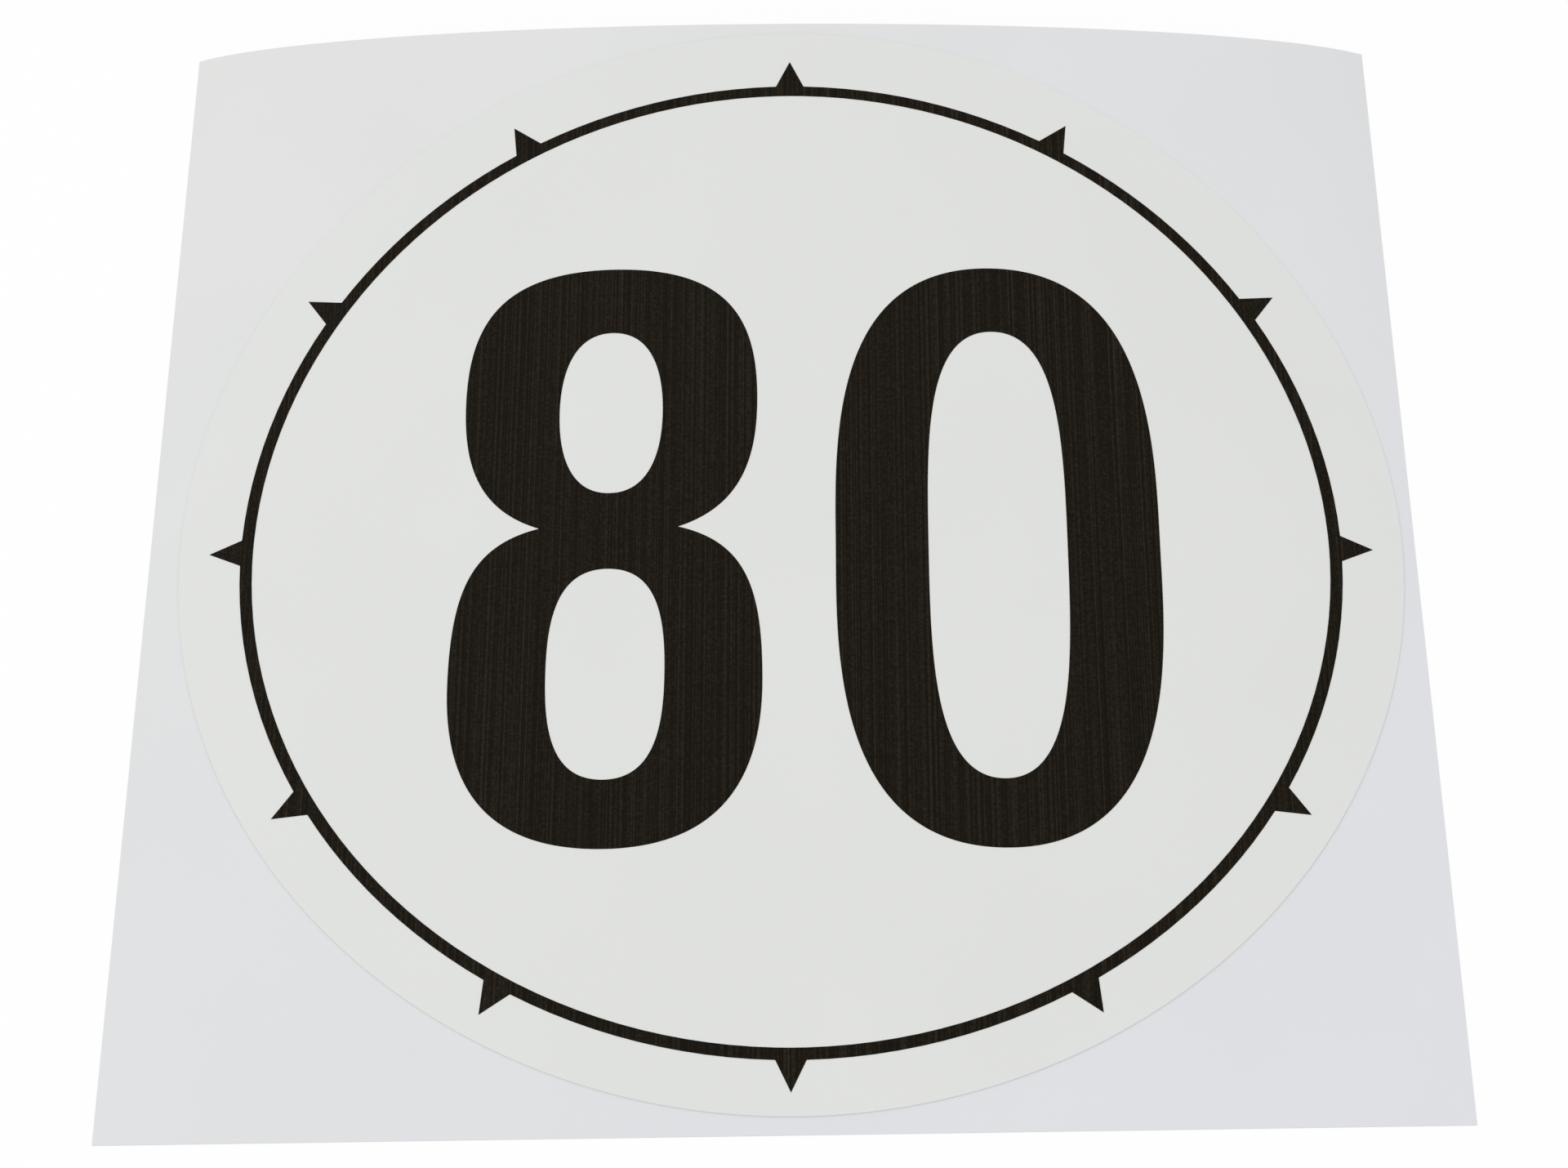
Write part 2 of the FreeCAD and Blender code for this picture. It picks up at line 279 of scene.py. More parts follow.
@dataclass(frozen=True)
class InkFinish:
    """Printed black with the fine lengthwise streaks that a print head leaves.

    Attributes:
        name: Material name.
        dark: Colour of the ink, linear.
        pale: Colour of its palest streaks, linear.
        roughness: Roughness of the ink.
        gloss: Specular level of the ink.
        streak_scale: Streaks across the print, in cycles per metre.
        streak_length: How much longer than wide a streak is.
        grain_scale: Grain of the ink, in cycles per metre.
        grain_share: Share of the grain in the tone, the rest being the streaks'.
        relief: Strength of the relief.
        relief_depth: Depth of the relief.
        streak_detail: Octaves of noise in the streaks.
        streak_gain: Share of each octave that the next one keeps.
        grain_detail: Octaves of noise in the grain.
        stops: Levels of noise at which the dark ends and the palest streaks begin.
    """

    name: str
    dark: tuple[float, float, float]
    pale: tuple[float, float, float]
    roughness: float
    gloss: float
    streak_scale: float
    streak_length: float
    grain_scale: float
    grain_share: float
    relief: float
    relief_depth: float = 0.02 * MM
    streak_detail: float = 2.0
    streak_gain: float = 0.65
    grain_detail: float = 1.0
    stops: tuple[float, float] = (0.47, 0.66)

    def material(self) -> bpy.types.Material:
        """Make the ink's material.

        Returns:
            A material whose colour follows noise drawn out along Y, and some even noise, on Object
            coordinates.
        """
        made, tree, shader = new_material(self.name)
        shader.inputs["Roughness"].default_value = self.roughness
        shader.inputs["Specular IOR Level"].default_value = self.gloss
        place = tree.nodes.new("ShaderNodeTexCoord")
        drawn = tree.nodes.new("ShaderNodeMapping")
        drawn.inputs["Scale"].default_value = (1.0, 1.0 / self.streak_length, 0.0)
        streaks = tree.nodes.new("ShaderNodeTexNoise")
        streaks.inputs["Scale"].default_value = self.streak_scale
        streaks.inputs["Detail"].default_value = self.streak_detail
        streaks.inputs["Roughness"].default_value = self.streak_gain
        grain = tree.nodes.new("ShaderNodeTexNoise")
        grain.inputs["Scale"].default_value = self.grain_scale
        grain.inputs["Detail"].default_value = self.grain_detail
        both = tree.nodes.new("ShaderNodeMix")
        both.inputs["Factor"].default_value = self.grain_share
        low, high = self.stops
        ramp = two_colour_ramp(tree, (low, self.dark), (high, self.pale))
        bump = tree.nodes.new("ShaderNodeBump")
        bump.inputs["Strength"].default_value = self.relief
        bump.inputs["Distance"].default_value = self.relief_depth
        tree.links.new(place.outputs["Object"], drawn.inputs["Vector"])
        tree.links.new(drawn.outputs["Vector"], streaks.inputs["Vector"])
        tree.links.new(place.outputs["Object"], grain.inputs["Vector"])
        tree.links.new(streaks.outputs["Fac"], both.inputs["A"])
        tree.links.new(grain.outputs["Fac"], both.inputs["B"])
        tree.links.new(both.outputs["Result"], ramp.inputs["Fac"])
        tree.links.new(ramp.outputs["Color"], shader.inputs["Base Color"])
        tree.links.new(both.outputs["Result"], bump.inputs["Height"])
        tree.links.new(bump.outputs["Normal"], shader.inputs["Normal"])
        return made


PAPER = SheetFinish(
    "silicone_paper", tone=(0.733, 0.746, 0.783), shade=(0.722, 0.735, 0.772),
    roughness=0.42, gloss=0.4, cloud_scale=35.0, ripple=0.15, ripple_scale=900.0,
)
VINYL = SheetFinish(
    "white_vinyl", tone=(0.740, 0.751, 0.730), shade=(0.730, 0.741, 0.720),
    roughness=0.38, gloss=0.4, cloud_scale=30.0, ripple=0.1, ripple_scale=1400.0,
)
INK = InkFinish(
    "black_ink", dark=(0.0052, 0.0032, 0.0007), pale=(0.0235, 0.0178, 0.0110),
    roughness=0.5, gloss=0.06, streak_scale=3200.0, streak_length=1000.0,
    grain_scale=2600.0, grain_share=0.27, relief=0.1,
)


@dataclass(frozen=True)
class BentSheet:
    """The bent surface that all layers share.

    A straight near edge, cut a little off square, and an arched far edge are joined by straight
    lines. With t running from 0 at the near edge to 1 at the far edge, the angle p from -f to f
    across the sheet and a = (p / f + 1) / 2, the near edge lies at x = w * (a - 1 / 2),
    y = s * a - l / 2, z = 0 and the far edge at x = c - w / 2 + c * sin(p) / sin(f), y = l / 2,
    z = h * (cos(p) - cos(f)) / (1 - cos(f)). Here w is the near edge's width, l the length, s the
    slant, c half the far chord, h the rise and sin(f) the fullness.

    Attributes:
        width: Width of the near edge.
        length: Length of the left edge, from near to far.
        slant: How much shorter the right edge is.
        rise: Height of the arch's crown above the floor.
        fullness: How full the arch is, from 0 for a parabola to 1 for a half ellipse.
        take_up: How much of its width the arch takes up, for its rise.
        steps: Newton steps that find a point's angle.
    """

    width: float
    length: float
    slant: float
    rise: float
    fullness: float
    take_up: float
    steps: int = 8

    @property
    def spread(self) -> float:
        """Angle f from the arch's crown to its ends."""
        return math.asin(self.fullness)

    @property
    def half_chord(self) -> float:
        """Half the straight distance between the far corners."""
        return (self.width - self.take_up * self.rise**2 / self.width) / 2

    def near(self, p: np.ndarray) -> tuple[np.ndarray, np.ndarray]:
        """Return x and y of the near edge at the angles p."""
        share = (p / self.spread + 1) / 2
        return self.width * (share - 0.5), self.slant * share - self.length / 2

    def far(self, p: np.ndarray) -> np.ndarray:
        """Return x of the far edge at the angles p."""
        return self.half_chord - self.width / 2 + self.half_chord * np.sin(p) / self.fullness

    def plan(self, p: np.ndarray, t: np.ndarray) -> np.ndarray:
        """Return the plan points at the angles p and the shares t of the depth."""
        near_x, near_y = self.near(p)
        return np.stack(
            [(1 - t) * near_x + t * self.far(p), (1 - t) * near_y + t * self.length / 2], axis=-1
        )

    def lift(self, x: np.ndarray, y: np.ndarray) -> np.ndarray:
        """Find the surface's height over plan points.

        Args:
            x: Plan places across the sheet, 0 in its middle.
            y: Plan places along the sheet, 0 in its middle.

        Returns:
            Height z of each point; p and t are found from x and y by a few Newton steps on p.
        """
        p = x / (self.width / 2) * self.spread
        flat_slope = self.width / 2 / self.spread
        for _ in range(self.steps):
            near_x, near_y = self.near(p)
            t = (y - near_y) / (self.length / 2 - near_y)
            miss = (1 - t) * near_x + t * self.far(p) - x
            arched_slope = self.half_chord * np.cos(p) / self.fullness
            p = p - miss / ((1 - t) * flat_slope + t * arched_slope)
        low = math.cos(self.spread)
        return t * self.rise * (np.cos(p) - low) / (1 - low)


@dataclass(frozen=True)
class Layer:
    """One layer of the sheet.

    Attributes:
        sheet: The bent surface.
        low: Height of the layer's underside above the sheet's underside.
        thickness: Thickness along Z.
    """

    sheet: BentSheet
    low: float
    thickness: float

    def piece(self, name: str, *grids: np.ndarray) -> bpy.types.Object:
        """Make a closed piece of the layer from one or more grids of plan points.

        Points that grids share are welded, so grids may close into rings or meet along a line. The
        points are lifted onto the bent surface twice, at the layer's underside and at its top, and
        upright quads join the two wherever a grid's edge has no neighbour.

        Args:
            name: Object name.
            grids: Plan points, rows by columns by two, whose quads turn counter-clockwise.

        Returns:
            The new object, linked to the scene.
        """
        quads: list[np.ndarray] = []
        start = 0
        for grid in grids:
            rows, columns = grid.shape[:2]
            number = start + np.arange(rows * columns).reshape(rows, columns)
            corner = (number[:-1, :-1], number[1:, :-1], number[1:, 1:], number[:-1, 1:])
            quads.append(np.stack(corner, axis=-1).reshape(-1, 4))
            start += rows * columns
        points = np.round(np.vstack([grid.reshape(-1, 2) for grid in grids]), WELD_DIGITS)
        plan, shared = np.unique(points, axis=0, return_inverse=True)
        tops = shared.reshape(-1)[np.vstack(quads)]
        count = len(plan)
        sides = np.stack([tops, np.roll(tops, -1, axis=1)], axis=-1).reshape(-1, 2)
        rim = sides[~np.isin(sides @ (count, 1), sides @ (1, count))]
        walls = np.stack([rim[:, 0], rim[:, 1], rim[:, 1] + count, rim[:, 0] + count], axis=-1)
        height = self.sheet.lift(plan[:, 0], plan[:, 1]) + self.low
        under = np.column_stack([plan, height])
        top = np.column_stack([plan, height + self.thickness])
        faces = np.vstack([tops + count, tops[:, ::-1], walls])
        mesh = bpy.data.meshes.new(name)
        mesh.from_pydata(np.vstack([under, top]).tolist(), [], faces.tolist())
        mesh.shade_smooth()
        mesh.set_sharp_from_angle(angle=SHARP_EDGE)
        made = bpy.data.objects.new(name, mesh)
        bpy.context.scene.collection.objects.link(made)
        return made


def finish_piece(
    piece: bpy.types.Object, node: str, material: bpy.types.Material
) -> None:
    """Dress a piece and set it in the place of its node.

    Args:
        piece: The new piece.
        node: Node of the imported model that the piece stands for.
        material: The piece's material.
    """
    piece.data.materials.append(material)
    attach(piece, "root")
    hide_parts(node)
    log.info("%s: %d faces", piece.name, len(piece.data.polygons))


@dataclass(frozen=True)
class Oval:
    """A squarish oval of four cubic curves.

    Each quarter runs from the side's middle to the end's middle. Its first handle points along the
    side and is the flank's share of half the height, its second along the end, the crown's share of
    half the width.

    Attributes:
        centre: Plan place of the middle.
        width: Width across the sides.
        height: Height from end to end.
        head: Crown and flank of the quarters above the middle.
        foot: Crown and flank of the quarters below the middle.
    """

    centre: tuple[float, float]
    width: float
    height: float
    head: tuple[float, float]
    foot: tuple[float, float]

    def quarter(self, count: int, curves: tuple[float, float]) -> np.ndarray:
        """Sample a quarter from the right side to the top, about the oval's own middle.

        Args:
            count: Number of points.
            curves: Crown and flank of the quarter.

        Returns:
            The points, count by two: the cubic with poles (1, 0), (1, flank), (crown, 1), (0, 1).
        """
        crown, flank = curves
        s = np.linspace(0.0, 1.0, count)
        weights = np.stack([(1 - s) ** 3, 3 * s * (1 - s) ** 2, 3 * s**2 * (1 - s), s**3], axis=-1)
        poles = np.array([(1.0, 0.0), (1.0, flank), (crown, 1.0), (0.0, 1.0)])
        return weights @ poles * (self.width / 2, self.height / 2)

    def outline(self, count: int) -> np.ndarray:
        """Sample the whole oval counter-clockwise from its right side.

        Args:
            count: Number of points in each quarter.

        Returns:
            The points, four times count by two, in the plan.
        """
        above = self.quarter(count + 1, self.head)
        below = self.quarter(count + 1, self.foot)
        quarters = (above, above[::-1] * (-1, 1), below * (-1, -1), below[::-1] * (1, -1))
        return np.vstack([quarter[:-1] for quarter in quarters]) + self.centre

    def radius(self, angle: np.ndarray, about: tuple[float, float]) -> np.ndarray:
        """Find the distance from a plan point inside the oval to the oval.

        Args:
            angle: Directions from the point.
            about: The point.

        Returns:
            Distance in each direction, read between many points of the outline.
        """
        points = self.outline(OUTLINE_POINTS) - about
        turn = np.arctan2(points[:, 1], points[:, 0])
        return np.interp(angle, turn, np.hypot(points[:, 0], points[:, 1]), period=2 * math.pi)


def between(outer: np.ndarray, inner: np.ndarray, columns: int) -> np.ndarray:
    """Span a closed ring-shaped grid from an outer to an inner outline of as many points.

    Args:
        outer: Outer outline, counter-clockwise.
        inner: Inner outline, counter-clockwise.
        columns: Points across the ring.

    Returns:
        Plan points, rows along the outlines by columns from the outer one inwards; the last row is
        the first.
    """
    share = np.linspace(0.0, 1.0, columns)[None, :, None]
    grid = outer[:, None, :] * (1 - share) + inner[:, None, :] * share
    return np.concatenate([grid, grid[:1]])


@dataclass(frozen=True)
class ReleaseLiner:
    """Square sheet of silicone-coated paper that carries the sign.

    Attributes:
        layer: The liner's layer, which is the whole bent sheet.
        finish: Its finish.
        across: Points across the sheet.
        along: Points along the sheet.
    """

    layer: Layer
    finish: PaintedScoreShadeFinish
    across: int = 141
    along: int = 101

    def build(self) -> None:
        """Make the liner: a grid of the angle p across and the share t along the bent sheet."""
        sheet = self.layer.sheet
        angles = np.linspace(-sheet.spread, sheet.spread, self.across)
        p, t = np.meshgrid(angles, np.linspace(0.0, 1.0, self.along), indexing="ij")
        piece = self.layer.piece("liner_sheet", sheet.plan(p, t))
        finish_piece(piece, "release_liner", self.finish.material())


@dataclass(frozen=True)
class FaceFilm:
    """Round white film with its adhesive.

    Attributes:
        layer: The film's layer.
        centre: Plan place of its middle.
        diameter: Its diameter.
        finish: Its finish.
        side_points: Points on each side of its grid.
    """

    layer: Layer
    centre: tuple[float, float]
    diameter: float
    finish: SheetFinish
    side_points: int = 161

    def build(self) -> None:
        """Make the film: a square grid u, v drawn round by u * sqrt(1 - v * v / 2) and the like."""
        side = np.sin(np.linspace(-math.pi / 2, math.pi / 2, self.side_points))
        u, v = np.meshgrid(side, side, indexing="ij")
        disc = np.dstack([u * np.sqrt(1 - v**2 / 2), v * np.sqrt(1 - u**2 / 2)])
        piece = self.layer.piece("film_disc", disc * (self.diameter / 2) + self.centre)
        finish_piece(piece, "face_film", self.finish.material())


@dataclass(frozen=True)
class StudRing:
    """Printed ring with twelve pointed studs on its outside.

    Attributes:
        layer: The print's layer.
        centre: Plan place of the ring's middle.
        outer: Outer radius of the ring line.
        line: Width of the ring line.
        stud_length: How far a stud's point stands out from the ring line.
        stud_base: Width of a stud at the middle of the ring line.
        slanting: Angles of the two slanting studs in a quarter, the others being upright or level.
        arc_points: Points of the outer circle from one stud to the next.
        columns: Points across the ring line.
    """

    layer: Layer
    centre: tuple[float, float]
    outer: float
    line: float
    stud_length: float
    stud_base: float
    slanting: tuple[float, float]
    arc_points: int = 13
    columns: int = 4

    def flank_angle(self) -> float:
        """Find where a stud's flank leaves the ring line.

        Returns:
            Angle from the stud's axis to the point where the straight flank meets the outer circle.
        """
        foot = np.array([self.stud_base / 2, self.outer - self.line / 2])
        run = np.array([0.0, self.outer + self.stud_length]) - foot
        along = foot @ run
        short = foot @ foot - self.outer**2
        share = (-along + math.sqrt(along**2 - run @ run * short)) / (run @ run)
        meet = foot + share * run
        return math.atan2(meet[0], meet[1])

    def build(self, material: bpy.types.Material) -> None:
        """Make the ring, which reaches to a point on each stud's axis and to the circle elsewhere.

        Args:
            material: The ink.
        """
        quarter = np.array([0.0, *self.slanting])
        half = np.concatenate([quarter, [math.pi / 2], math.pi - quarter[:0:-1]])
        studs = np.concatenate([half, half + math.pi])
        gaps = np.diff(studs, append=2 * math.pi)
        flank = self.flank_angle()
        share = np.linspace(0.0, 1.0, self.arc_points)
        arcs = studs[:, None] + flank + (gaps[:, None] - 2 * flank) * share
        angle = np.column_stack([studs, arcs]).ravel()
        stretch = np.append(self.outer + self.stud_length, np.full(self.arc_points, self.outer))
        reach = np.tile(stretch, len(studs))
        way = np.stack([np.cos(angle), np.sin(angle)], axis=-1)
        outer = way * reach[:, None] + self.centre
        inner = way * (self.outer - self.line) + self.centre
        piece = self.layer.piece("ring_print", between(outer, inner, self.columns))
        finish_piece(piece, "stud_ring_print", material)


@dataclass(frozen=True)
class FigureZero:
    """Printed figure zero: the grid between two squarish ovals.

    Attributes:
        layer: The print's layer.
        outer: Outer oval.
        counter: Inner oval.
        quarter_points: Points in each quarter of the ovals.
        columns: Points across the stroke.
    """

    layer: Layer
    outer: Oval
    counter: Oval
    quarter_points: int = 64
    columns: int = 13

    def build(self, material: bpy.types.Material) -> None:
        """Make the figure from as many points of both ovals.

        Args:
            material: The ink.
        """
        outer = self.outer.outline(self.quarter_points)
        inner = self.counter.outline(self.quarter_points)
        piece = self.layer.piece("zero_print", between(outer, inner, self.columns))
        finish_piece(piece, "digit_zero_print", material)


@dataclass(frozen=True)
class FigureEight:
    """Printed figure eight: two ring-shaped lobes that share the points of its waist line.

    Attributes:
        layer: The print's layer.
        upper: Outer oval of the upper lobe.
        lower: Outer oval of the lower lobe, which the upper one overlaps.
        upper_counter: Inner oval of the upper lobe.
        lower_counter: Inner oval of the lower lobe.
        waist_points: Points on the waist line.
        search_points: Heights tried for the waist line.
        rim_points: Points on a lobe's outline from notch to notch.
        columns: Points across the stroke.
    """

    layer: Layer
    upper: Oval
    lower: Oval
    upper_counter: Oval
    lower_counter: Oval
    waist_points: int = 41
    search_points: int = 2001
    rim_points: int = 201
    columns: int = 13

    def waist(self) -> np.ndarray:
        """Sample the straight line between the notches where the lobes' outlines cross.

        Returns:
            Plan points from the left notch to the right one.
        """
        above = self.upper.quarter(OUTLINE_POINTS, self.upper.foot) * (1, -1)
        above = above + (0.0, self.upper.centre[1])
        below = self.lower.quarter(OUTLINE_POINTS, self.lower.head) + (0.0, self.lower.centre[1])
        y = np.linspace(above[-1, 1], below[-1, 1], self.search_points)
        upper_half = np.interp(y, above[::-1, 1], above[::-1, 0])
        lower_half = np.interp(y, below[:, 1], below[:, 0])
        place = int(np.argmin(np.abs(upper_half - lower_half)))
        x = self.upper.centre[0] + upper_half[place] * np.linspace(-1.0, 1.0, self.waist_points)
        return np.column_stack([x, np.full_like(x, y[place])])

    def lobe(self, outer: Oval, counter: Oval, waist: np.ndarray) -> np.ndarray:
        """Span one lobe about its counter's middle.

        The lobe reaches from its counter to the waist line and, in the other directions, to its
        own oval.

        Args:
            outer: The lobe's outer oval.
            counter: Its counter.
            waist: Plan points of the waist line, counter-clockwise about the counter's middle.

        Returns:
            Plan points of the lobe, rows by columns by two.
        """
        middle = np.array(counter.centre)
        ends = np.arctan2(*(waist[[-1, 0]] - middle).T[::-1])
        sweep = (ends[1] - ends[0]) % (2 * math.pi)
        turn = ends[0] + sweep * np.linspace(0.0, 1.0, self.rim_points)[1:-1]
        way = np.stack([np.cos(turn), np.sin(turn)], axis=-1)
        rounded = way * outer.radius(turn, counter.centre)[:, None] + middle
        rim = np.vstack([waist, rounded])
        angle = np.arctan2(*(rim - middle).T[::-1])
        inward = np.stack([np.cos(angle), np.sin(angle)], axis=-1)
        inside = inward * counter.radius(angle, counter.centre)[:, None] + middle
        return between(rim, inside, self.columns)

    def build(self, material: bpy.types.Material) -> None:
        """Make both lobes as one piece.

        Args:
            material: The ink.
        """
        waist = self.waist()
        piece = self.layer.piece(
            "eight_print",
            self.lobe(self.upper, self.upper_counter, waist),
            self.lobe(self.lower, self.lower_counter, waist[::-1]),
        )
        finish_piece(piece, "digit_eight_print", material)


@dataclass(frozen=True)
class Sign:
    """The whole sign with its driving sizes.

    Attributes:
        film_diameter: Diameter of the round film.
        margins: Liner left, right, near and far of the film.
        thicknesses: Liner, film and print.
        near_slant: How much shorter the liner's right edge is than its left one.
        rise: Height of the arch.
        fullness: Fullness of the arch.
        take_up: Width that the arch takes up, for its rise.
        print_drop: How far the print sits below the film's middle.
        stud_tip_margin: Bare film outside the studs' points.
        stud_length: How far the studs stand out from the ring line.
        stud_base: Width of a stud at the ring line.
        stud_angles: Angles of the slanting studs in the first quarter, in degrees.
        ring_line: Width of the ring line.
        figures_shift: How far the pair of figures sits right of the ring's middle.
        figures_drop: How far it sits below that middle.
        figures_gap: Gap between the figures.
        figure_height: Height of the figures.
        head_stroke: Stroke of the figures at the top.
        foot_stroke: Stroke of the figures at the bottom.
        zero_width: Width of the zero.
        zero_stroke: Stroke of its sides.
        zero_curves: Crown and flank of its outline.
        zero_counter_curves: Crown and flank of its counter.
        eight_upper_width: Width of the eight's upper lobe.
        eight_lower_width: Width of its lower lobe.
        eight_stroke: Stroke of its sides.
        head_curves: Crown and flank of the eight's outline at its head.
        upper_waist_curves: Crown and flank of its upper lobe at the waist.
        lower_waist_curves: Crown and flank of its lower lobe at the waist.
        foot_curves: Crown and flank of its outline at its foot.
        upper_counter_curves: Crown and flank of the upper counter.
        lower_counter_curves: Crown and flank of the lower counter.
        waist: Stroke between the counters.
        waist_height: Height of the waist's middle above the figures' foot.
        upper_dip: How far the upper lobe reaches below that middle.
        lower_rise: How far the lower lobe reaches above it.
        score_shade_gap: How far outside the film's edge the middle of the painted score shade lies.
        score_shade_width: Width of the painted score shade.
    """

    film_diameter: float = 150.0 * MM
    margins: tuple[float, float, float, float] = (3.74 * MM, 2.2 * MM, 3.1 * MM, 1.7 * MM)
    thicknesses: tuple[float, float, float] = (0.16 * MM, 0.12 * MM, 0.04 * MM)
    near_slant: float = 1.84 * MM
    rise: float = 7.15 * MM
    fullness: float = 0.96
    take_up: float = 3.6
    print_drop: float = 0.86 * MM
    stud_tip_margin: float = 3.7 * MM
    stud_length: float = 3.9 * MM
    stud_base: float = 4.25 * MM
    stud_angles: tuple[float, float] = (30.8, 59.9)
    ring_line: float = 1.5 * MM
    figures_shift: float = 1.99 * MM
    figures_drop: float = 0.79 * MM
    figures_gap: float = 8.9 * MM
    figure_height: float = 80.46 * MM
    head_stroke: float = 9.45 * MM
    foot_stroke: float = 8.95 * MM
    zero_width: float = 39.58 * MM
    zero_stroke: float = 11.3 * MM
    zero_curves: tuple[float, float] = (1.05, 0.33)
    zero_counter_curves: tuple[float, float] = (1.0, 0.48)
    eight_upper_width: float = 36.32 * MM
    eight_lower_width: float = 37.78 * MM
    eight_stroke: float = 11.74 * MM
    head_curves: tuple[float, float] = (0.821, 0.579)
    upper_waist_curves: tuple[float, float] = (0.85, 0.533)
    lower_waist_curves: tuple[float, float] = (0.824, 0.723)
    foot_curves: tuple[float, float] = (0.79, 0.538)
    upper_counter_curves: tuple[float, float] = (0.75, 0.523)
    lower_counter_curves: tuple[float, float] = (0.889, 0.481)
    waist: float = 10.56 * MM
    waist_height: float = 42.58 * MM
    upper_dip: float = 0.78 * MM
    lower_rise: float = 1.36 * MM
    score_shade_gap: float = 0.1 * MM
    score_shade_width: float = 0.22 * MM

    def sheet(self) -> BentSheet:
        """Return the bent surface that the margins and the arch give."""
        left, right, near, far = self.margins
        return BentSheet(
            width=self.film_diameter + left + right,
            length=self.film_diameter + near + far,
            slant=self.near_slant,
            rise=self.rise,
            fullness=self.fullness,
            take_up=self.take_up,
        )

    def film_centre(self) -> tuple[float, float]:
        """Return the plan place of the film's middle."""
        left, right, near, far = self.margins
        return (left - right) / 2, (near - far) / 2

    def figures(self, layer: Layer) -> tuple[FigureEight, FigureZero]:
        """Lay out the two figures on one foot line.

        Args:
            layer: The print's layer.

        Returns:
            The eight and the zero.
        """
        middle_x, middle_y = self.film_centre()
        foot = middle_y - self.print_drop - self.figures_drop - self.figure_height / 2
        head = foot + self.figure_height
        pair = self.eight_lower_width + self.figures_gap + self.zero_width
        eight_x = middle_x + self.figures_shift - pair / 2 + self.eight_lower_width / 2
        zero_x = middle_x + self.figures_shift + pair / 2 - self.zero_width / 2
        waist_y = foot + self.waist_height
        inner_low = foot + self.foot_stroke
        inner_high = head - self.head_stroke

        def oval(
            x: float, low: float, high: float, width: float, *curves: tuple[float, float]
        ) -> Oval:
            """Return an oval between two heights, the head's curves first, the foot's last."""
            return Oval((x, (low + high) / 2), width, high - low, curves[0], curves[-1])

        upper_hole = self.eight_upper_width - 2 * self.eight_stroke
        lower_hole = self.eight_lower_width - 2 * self.eight_stroke
        zero_hole = self.zero_width - 2 * self.zero_stroke
        eight = FigureEight(
            layer,
            upper=oval(
                eight_x, waist_y - self.upper_dip, head, self.eight_upper_width,
                self.head_curves, self.upper_waist_curves,
            ),
            lower=oval(
                eight_x, foot, waist_y + self.lower_rise, self.eight_lower_width,
                self.lower_waist_curves, self.foot_curves,
            ),
            upper_counter=oval(
                eight_x, waist_y + self.waist / 2, inner_high, upper_hole, self.upper_counter_curves
            ),
            lower_counter=oval(
                eight_x, inner_low, waist_y - self.waist / 2, lower_hole, self.lower_counter_curves
            ),
        )
        zero = FigureZero(
            layer,
            outer=oval(zero_x, foot, head, self.zero_width, self.zero_curves),
            counter=oval(zero_x, inner_low, inner_high, zero_hole, self.zero_counter_curves),
        )
        return eight, zero

    def build(self) -> None:
        """Make and dress all layers from the liner up."""
        sheet = self.sheet()
        liner_t, film_t, print_t = self.thicknesses
        centre = self.film_centre()
        ink = INK.material()
        # The liner's paper gets a painted shade line along the film's edge, standing in for the
        # shade in the kiss-cut score.
        paper_with_score_shade = PaintedScoreShadeFinish(
            PAPER, centre, radius=self.film_diameter / 2 + self.score_shade_gap, width=self.score_shade_width,
            shade=0.97, cast=(1.012, 1.0, 0.94), cast_middle=0.5, cast_slope=3.2,
        )
        ReleaseLiner(Layer(sheet, 0.0, liner_t), paper_with_score_shade).build()
        FaceFilm(Layer(sheet, liner_t, film_t), centre, self.film_diameter, VINYL).build()
        printed = Layer(sheet, liner_t + film_t, print_t)
        ring = StudRing(
            printed, (centre[0], centre[1] - self.print_drop),
            outer=self.film_diameter / 2 - self.stud_tip_margin - self.stud_length,
            line=self.ring_line, stud_length=self.stud_length, stud_base=self.stud_base,
            slanting=(math.radians(self.stud_angles[0]), math.radians(self.stud_angles[1])),
        )
        ring.build(ink)
        for figure in self.figures(printed):
            figure.build(ink)


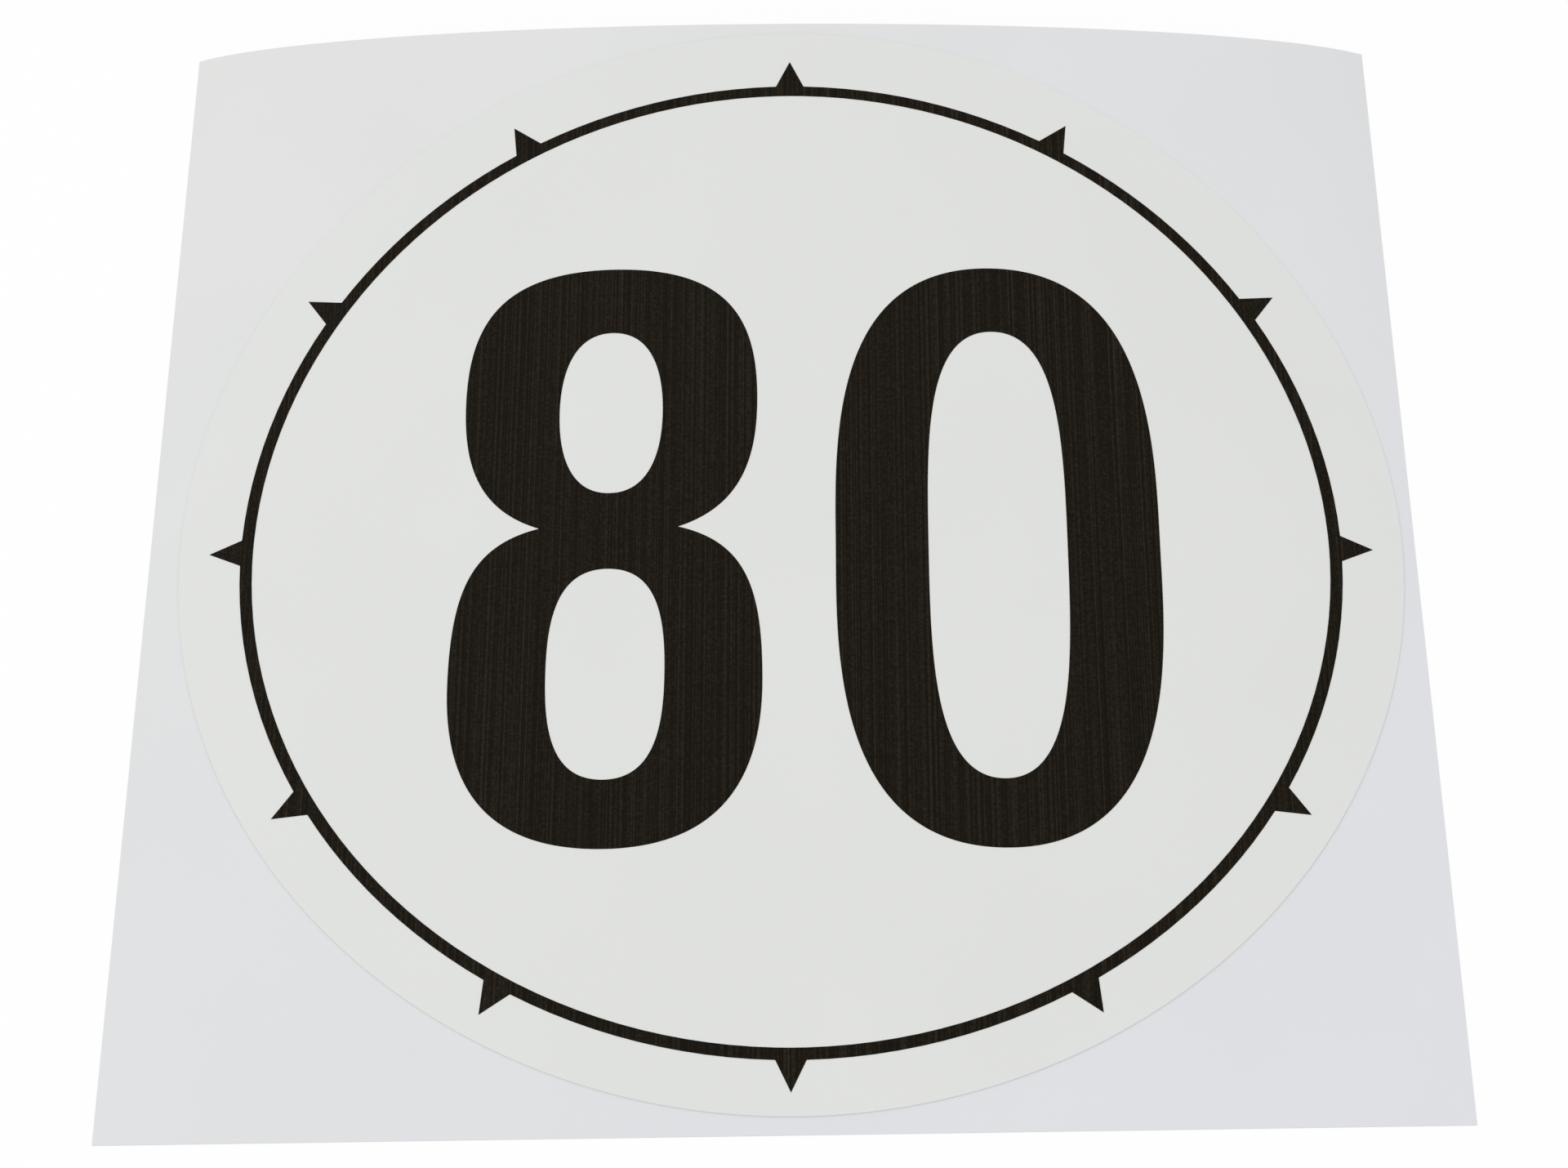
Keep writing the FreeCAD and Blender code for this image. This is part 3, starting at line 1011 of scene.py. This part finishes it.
@dataclass(frozen=True)
class Studio:
    """Pale floor, soft light and the camera.

    Attributes:
        target: Point that the camera looks at.
        distance: Distance from the camera to that point.
        tilt: Angle of the view from straight down.
        turn: Angle of the view about Z.
        roll: Angle of the picture about the view.
        lens: Focal length, in millimetres.
        sensor: Width of the sensor, in millimetres.
        clip_start: Distance from which the camera sees.
        floor_side: Side of the square floor.
        floor_drop: How far the floor lies below the sheet.
        floor_tone: Grey of the floor.
        floor_glow: Share of plain white in the floor as it is seen.
        surround: Strength of the surround's light.
        lamp_place: Place of the lamp, which faces the sheet.
        lamp_side: Side of the square lamp.
        lamp_energy: Power of the lamp.
    """

    target: Vector = Vector((-0.05 * MM, -3.29 * MM, -1.35 * MM))
    distance: float = 470.15 * MM
    tilt: float = 0.53963
    turn: float = 0.01651
    roll: float = -0.01914
    lens: float = 87.99
    sensor: float = 36.0
    clip_start: float = 0.01
    floor_side: float = 3.0
    floor_drop: float = 0.05 * MM
    floor_tone: float = 0.94
    floor_glow: float = 0.9
    surround: float = 0.834
    lamp_place: Vector = Vector((-0.6, 0.17, 1.35))
    lamp_side: float = 1.6
    lamp_energy: float = 5.1

    def camera(self) -> None:
        """Set up the camera at the photograph's viewing angle."""
        data = bpy.data.cameras.new("view")
        data.lens = self.lens
        data.sensor_width = self.sensor
        data.clip_start = self.clip_start
        made = bpy.data.objects.new("view", data)
        aim = (
            Matrix.Rotation(self.turn, 4, "Z")
            @ Matrix.Rotation(self.tilt, 4, "X")
            @ Matrix.Rotation(self.roll, 4, "Z")
        )
        back = Matrix.Translation((0, 0, self.distance))
        made.matrix_world = Matrix.Translation(self.target) @ aim @ back
        bpy.context.scene.collection.objects.link(made)
        bpy.context.scene.camera = made

    def floor(self) -> None:
        """Lay a pale floor that shows white to the camera and keeps a soft shadow."""
        mesh = bpy.data.meshes.new("floor")
        corner = np.array([(-1, -1, 0), (1, -1, 0), (1, 1, 0), (-1, 1, 0)]) * (self.floor_side / 2)
        mesh.from_pydata((corner - (0, 0, self.floor_drop)).tolist(), [], [(0, 1, 2, 3)])
        floor = bpy.data.objects.new("floor", mesh)
        bpy.context.scene.collection.objects.link(floor)
        made, tree, shader = new_material("pale_floor")
        grey = (self.floor_tone, self.floor_tone, self.floor_tone)
        shader.inputs["Base Color"].default_value = (*grey, 1.0)
        shader.inputs["Roughness"].default_value = 1.0
        shader.inputs["Specular IOR Level"].default_value = 0.0
        glow = tree.nodes.new("ShaderNodeEmission")
        glow.inputs["Color"].default_value = (1.0, 1.0, 1.0, 1.0)
        glow.inputs["Strength"].default_value = 1.0
        mixed = tree.nodes.new("ShaderNodeMixShader")
        tree.links.new(seen_share(tree, 0.0, self.floor_glow), mixed.inputs["Fac"])
        tree.links.new(shader.outputs["BSDF"], mixed.inputs[1])
        tree.links.new(glow.outputs["Emission"], mixed.inputs[2])
        tree.links.new(mixed.outputs["Shader"], tree.nodes["Material Output"].inputs["Surface"])
        mesh.materials.append(made)

    def lights(self) -> None:
        """Light the sheet with an even surround and a broad lamp above its left side."""
        scene = bpy.context.scene
        world = bpy.data.worlds.new("surround")
        world.use_nodes = True
        tree = world.node_tree
        background = tree.nodes["Background"]
        background.inputs["Color"].default_value = (1.0, 1.0, 1.0, 1.0)
        tree.links.new(seen_share(tree, self.surround, 1.0), background.inputs["Strength"])
        scene.world = world
        data = bpy.data.lights.new("top_lamp", "AREA")
        data.shape = "SQUARE"
        data.size = self.lamp_side
        data.energy = self.lamp_energy
        lamp = bpy.data.objects.new("top_lamp", data)
        lamp.location = self.lamp_place
        lamp.rotation_euler = (-self.lamp_place).to_track_quat("-Z", "Y").to_euler()
        scene.collection.objects.link(lamp)

    def build(self) -> None:
        """Set up the floor, the light and the camera."""
        self.floor()
        self.lights()
        self.camera()
        bpy.context.scene.view_settings.view_transform = "Standard"


def main() -> None:
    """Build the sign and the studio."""
    logging.basicConfig(level=logging.INFO, format="%(name)s %(message)s")
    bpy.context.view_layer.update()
    Sign().build()
    Studio().build()


if __name__ == "__main__":
    main()
